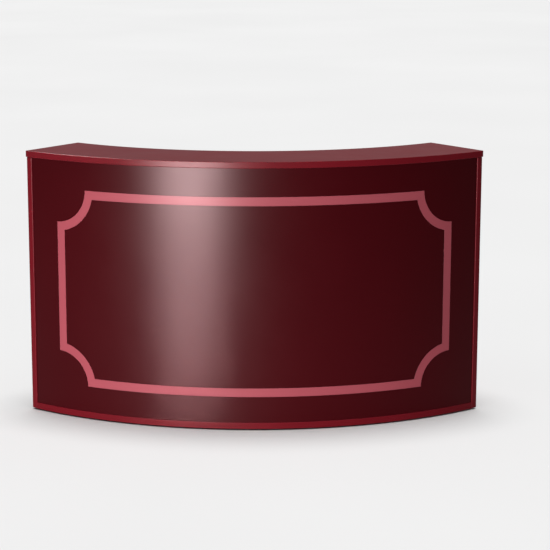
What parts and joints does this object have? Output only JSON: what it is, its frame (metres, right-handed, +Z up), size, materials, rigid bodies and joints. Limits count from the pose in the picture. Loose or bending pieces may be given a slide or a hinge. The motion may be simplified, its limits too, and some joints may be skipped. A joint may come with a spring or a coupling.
{
  "type": "reception desk",
  "caption": "Curved reception desk with a high lacquered counter, a bowed front panel with an inlaid stripe, and a lower staff worktop over a drawer unit.",
  "frame": {"origin": "on the floor, in the middle of the desk's box", "axes": "+X to a visitor's right along the front, +Y to the staff side, +Z up; the bowed front faces -Y"},
  "size_m": [1.7984, 0.7834, 1.05],
  "materials": {
    "frame_lacquer": "satin burgundy lacquer on board",
    "panel_lacquer": "glossy dark burgundy lacquer on bent board",
    "stripe_laminate": "satin rose laminate",
    "drawer_board": "pale melamine-faced board",
    "zinc_steel": "zinc-plated pressed steel",
    "satin_nickel": "satin nickel plate",
    "black_plastic": "matt moulded black",
    "glide_nylon": "grey moulded nylon"
  },
  "bodies": {
    "root": {"counter_top": "frame_lacquer", "left_end_panel": "frame_lacquer", "right_end_panel": "frame_lacquer", "base_board": "frame_lacquer", "worktop": "frame_lacquer", "pedestal_gable": "frame_lacquer", "lower_rib": "frame_lacquer", "upper_left_rib": "frame_lacquer", "upper_right_rib": "frame_lacquer", "pedestal_top_rail": "frame_lacquer", "pedestal_kick_rail": "frame_lacquer", "front_panel": "panel_lacquer", "stripe_inlay": "stripe_laminate", "upper_drawer_left_runner": "zinc_steel", "upper_drawer_right_runner": "zinc_steel", "middle_drawer_left_runner": "zinc_steel", "middle_drawer_right_runner": "zinc_steel", "lower_drawer_left_runner": "zinc_steel", "lower_drawer_right_runner": "zinc_steel", "grommet_liner": "black_plastic", "end_bracket_rear": "zinc_steel", "end_bracket_front": "zinc_steel", "gable_bracket_rear": "zinc_steel", "gable_bracket_front": "zinc_steel", "left_end_glide_rear": "glide_nylon", "left_end_glide_front": "glide_nylon", "right_end_glide_rear": "glide_nylon", "right_end_glide_front": "glide_nylon", "gable_glide": "glide_nylon", "base_glide_left_front": "glide_nylon", "base_glide_left_rear": "glide_nylon", "base_glide_right_front": "glide_nylon", "base_glide_right_rear": "glide_nylon"},
    "upper_drawer": {"upper_drawer_front": "frame_lacquer", "upper_drawer_left_side": "drawer_board", "upper_drawer_right_side": "drawer_board", "upper_drawer_back": "drawer_board", "upper_drawer_floor": "drawer_board", "upper_drawer_handle": "satin_nickel", "upper_drawer_left_slide": "zinc_steel", "upper_drawer_right_slide": "zinc_steel", "lock_case": "satin_nickel"},
    "middle_drawer": {"middle_drawer_front": "frame_lacquer", "middle_drawer_left_side": "drawer_board", "middle_drawer_right_side": "drawer_board", "middle_drawer_back": "drawer_board", "middle_drawer_floor": "drawer_board", "middle_drawer_handle": "satin_nickel", "middle_drawer_left_slide": "zinc_steel", "middle_drawer_right_slide": "zinc_steel"},
    "lower_drawer": {"lower_drawer_front": "frame_lacquer", "lower_drawer_left_side": "drawer_board", "lower_drawer_right_side": "drawer_board", "lower_drawer_back": "drawer_board", "lower_drawer_floor": "drawer_board", "lower_drawer_handle": "satin_nickel", "lower_drawer_left_slide": "zinc_steel", "lower_drawer_right_slide": "zinc_steel"},
    "lock_plug": {"lock_plug": "satin_nickel"},
    "grommet_cap": {"grommet_cap": "black_plastic"}
  },
  "joints": [
    {"name": "upper_drawer_slide", "type": "slide", "parent": "root", "child": "upper_drawer", "axis": [0.6172, 0.7868, 0], "range_m": [0, 0.34]},
    {"name": "middle_drawer_slide", "type": "slide", "parent": "root", "child": "middle_drawer", "axis": [0.6172, 0.7868, 0], "range_m": [0, 0.34]},
    {"name": "lower_drawer_slide", "type": "slide", "parent": "root", "child": "lower_drawer", "axis": [0.6172, 0.7868, 0], "range_m": [0, 0.34]},
    {"name": "lock_turn", "type": "hinge", "parent": "upper_drawer", "child": "lock_plug", "pos_m": [-0.23551, 0.15685, 0.6737], "axis": [0.6172, 0.7868, 0], "range_deg": [0, 90]},
    {"name": "grommet_cap_lift", "type": "slide", "parent": "root", "child": "grommet_cap", "axis": [0, 0, 1], "range_m": [0, 0.04]}
  ]
}
